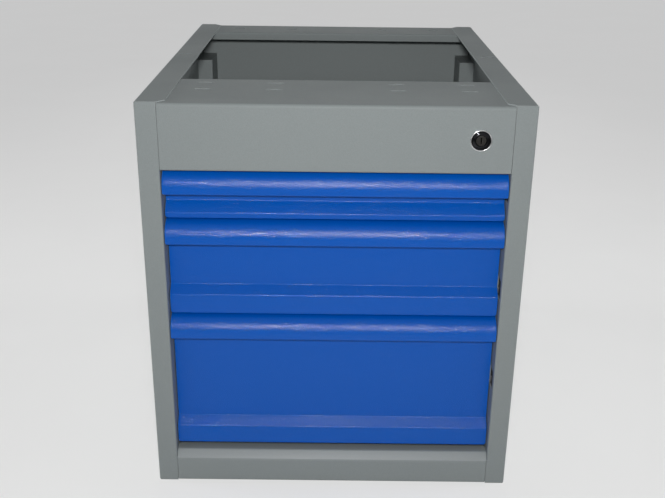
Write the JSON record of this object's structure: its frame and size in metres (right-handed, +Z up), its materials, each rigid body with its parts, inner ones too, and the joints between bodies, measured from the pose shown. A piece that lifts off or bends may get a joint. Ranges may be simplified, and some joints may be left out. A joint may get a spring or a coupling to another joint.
{
  "type": "three-drawer under-bench cabinet",
  "caption": "Free-standing folded-steel pedestal with an open slotted top frame, full-width drawers with rolled grips on ball slides, and one cylinder lock that bars them all.",
  "frame": {"origin": "on the floor under the centre of the whole cabinet's box", "axes": "+Z up, -Y out of the drawer fronts, +X to the right of a person facing the drawers; the cabinet is deepest along Y"},
  "size_m": [0.48, 0.603, 0.535],
  "materials": {
    "grey_paint": "fine-textured light grey powder coat, satin",
    "blue_paint": "fine-textured bright blue powder coat, semi-gloss",
    "tray_paint": "light grey powder coat, satin",
    "zinc_steel": "bright zinc plate",
    "bright_fasteners": "zinc-plated, lightly polished",
    "dark_steel": "brown-black phosphated steel, matt",
    "chrome_plate": "polished chrome plate",
    "plug_metal": "polished nickel plate",
    "black_rubber": "matt moulded rubber"
  },
  "bodies": {
    "cabinet": {"side_panel_left": "grey_paint", "side_panel_right": "grey_paint", "front_top_rail": "grey_paint", "rear_top_rail": "grey_paint", "base_pan": "grey_paint", "back_panel": "grey_paint", "front_post_left": "grey_paint", "front_post_right": "grey_paint", "rear_post_left": "grey_paint", "rear_post_right": "grey_paint", "slide_screws": "bright_fasteners", "slide_buffers": "black_rubber", "lock_cylinder": "chrome_plate", "lock_nut": "bright_fasteners", "locking_bar_guides": "dark_steel", "slide_1_fixed_left": "zinc_steel", "slide_1_fixed_right": "zinc_steel", "slide_2_fixed_left": "zinc_steel", "slide_2_fixed_right": "zinc_steel", "slide_3_fixed_left": "zinc_steel", "slide_3_fixed_right": "zinc_steel"},
    "drawer_1": {"drawer_1_front": "blue_paint", "drawer_1_tray": "tray_paint", "drawer_1_catch": "zinc_steel", "drawer_1_screws": "bright_fasteners", "slide_1_inner_left": "zinc_steel", "slide_1_inner_right": "zinc_steel"},
    "slide_1_middle": {"slide_1_middle_left": "zinc_steel", "slide_1_middle_right": "zinc_steel"},
    "slide_1_outer_cages": {"slide_1_outer_cages": "zinc_steel"},
    "slide_1_inner_cages": {"slide_1_inner_cages": "zinc_steel"},
    "drawer_2": {"drawer_2_front": "blue_paint", "drawer_2_tray": "tray_paint", "drawer_2_catch": "zinc_steel", "drawer_2_screws": "bright_fasteners", "slide_2_inner_left": "zinc_steel", "slide_2_inner_right": "zinc_steel"},
    "slide_2_middle": {"slide_2_middle_left": "zinc_steel", "slide_2_middle_right": "zinc_steel"},
    "slide_2_outer_cages": {"slide_2_outer_cages": "zinc_steel"},
    "slide_2_inner_cages": {"slide_2_inner_cages": "zinc_steel"},
    "drawer_3": {"drawer_3_front": "blue_paint", "drawer_3_tray": "tray_paint", "drawer_3_catch": "zinc_steel", "drawer_3_screws": "bright_fasteners", "slide_3_inner_left": "zinc_steel", "slide_3_inner_right": "zinc_steel"},
    "slide_3_middle": {"slide_3_middle_left": "zinc_steel", "slide_3_middle_right": "zinc_steel"},
    "slide_3_outer_cages": {"slide_3_outer_cages": "zinc_steel"},
    "slide_3_inner_cages": {"slide_3_inner_cages": "zinc_steel"},
    "lock_core": {"lock_plug": "plug_metal", "lock_cam": "bright_fasteners", "lock_cam_screw": "bright_fasteners"},
    "locking_bar": {"locking_bar": "dark_steel", "locking_bar_hooks": "zinc_steel"}
  },
  "joints": [
    {"name": "drawer_1_pull", "type": "slide", "parent": "cabinet", "child": "drawer_1", "axis": [0, -1, 0], "range_m": [0, 0.5]},
    {"name": "slide_1_middle_run", "type": "slide", "parent": "cabinet", "child": "slide_1_middle", "axis": [0, -1, 0], "range_m": [0, 0.25]},
    {"name": "slide_1_outer_cages_run", "type": "slide", "parent": "cabinet", "child": "slide_1_outer_cages", "axis": [0, -1, 0], "range_m": [0, 0.125]},
    {"name": "slide_1_inner_cages_run", "type": "slide", "parent": "cabinet", "child": "slide_1_inner_cages", "axis": [0, -1, 0], "range_m": [0, 0.375]},
    {"name": "drawer_2_pull", "type": "slide", "parent": "cabinet", "child": "drawer_2", "axis": [0, -1, 0], "range_m": [0, 0.5]},
    {"name": "slide_2_middle_run", "type": "slide", "parent": "cabinet", "child": "slide_2_middle", "axis": [0, -1, 0], "range_m": [0, 0.25]},
    {"name": "slide_2_outer_cages_run", "type": "slide", "parent": "cabinet", "child": "slide_2_outer_cages", "axis": [0, -1, 0], "range_m": [0, 0.125]},
    {"name": "slide_2_inner_cages_run", "type": "slide", "parent": "cabinet", "child": "slide_2_inner_cages", "axis": [0, -1, 0], "range_m": [0, 0.375]},
    {"name": "drawer_3_pull", "type": "slide", "parent": "cabinet", "child": "drawer_3", "axis": [0, -1, 0], "range_m": [0, 0.5]},
    {"name": "slide_3_middle_run", "type": "slide", "parent": "cabinet", "child": "slide_3_middle", "axis": [0, -1, 0], "range_m": [0, 0.25]},
    {"name": "slide_3_outer_cages_run", "type": "slide", "parent": "cabinet", "child": "slide_3_outer_cages", "axis": [0, -1, 0], "range_m": [0, 0.125]},
    {"name": "slide_3_inner_cages_run", "type": "slide", "parent": "cabinet", "child": "slide_3_inner_cages", "axis": [0, -1, 0], "range_m": [0, 0.375]},
    {"name": "lock_turn", "type": "hinge", "parent": "cabinet", "child": "lock_core", "pos_m": [0.1736, -0.2985, 0.4925], "axis": [0, -1, 0], "range_deg": [0, 90]},
    {"name": "locking_bar_lift", "type": "slide", "parent": "cabinet", "child": "locking_bar", "axis": [0, 0, 1], "range_m": [0, 0.01414]}
  ],
  "couplings": [
    {"joint": "slide_1_middle_run", "follows": "drawer_1_pull", "ratio": 0.5},
    {"joint": "slide_1_outer_cages_run", "follows": "drawer_1_pull", "ratio": 0.25},
    {"joint": "slide_1_inner_cages_run", "follows": "drawer_1_pull", "ratio": 0.75},
    {"joint": "slide_2_middle_run", "follows": "drawer_2_pull", "ratio": 0.5},
    {"joint": "slide_2_outer_cages_run", "follows": "drawer_2_pull", "ratio": 0.25},
    {"joint": "slide_2_inner_cages_run", "follows": "drawer_2_pull", "ratio": 0.75},
    {"joint": "slide_3_middle_run", "follows": "drawer_3_pull", "ratio": 0.5},
    {"joint": "slide_3_outer_cages_run", "follows": "drawer_3_pull", "ratio": 0.25},
    {"joint": "slide_3_inner_cages_run", "follows": "drawer_3_pull", "ratio": 0.75},
    {"joint": "lock_turn", "follows": "locking_bar_lift", "rad_per_m": 111.07}
  ]
}
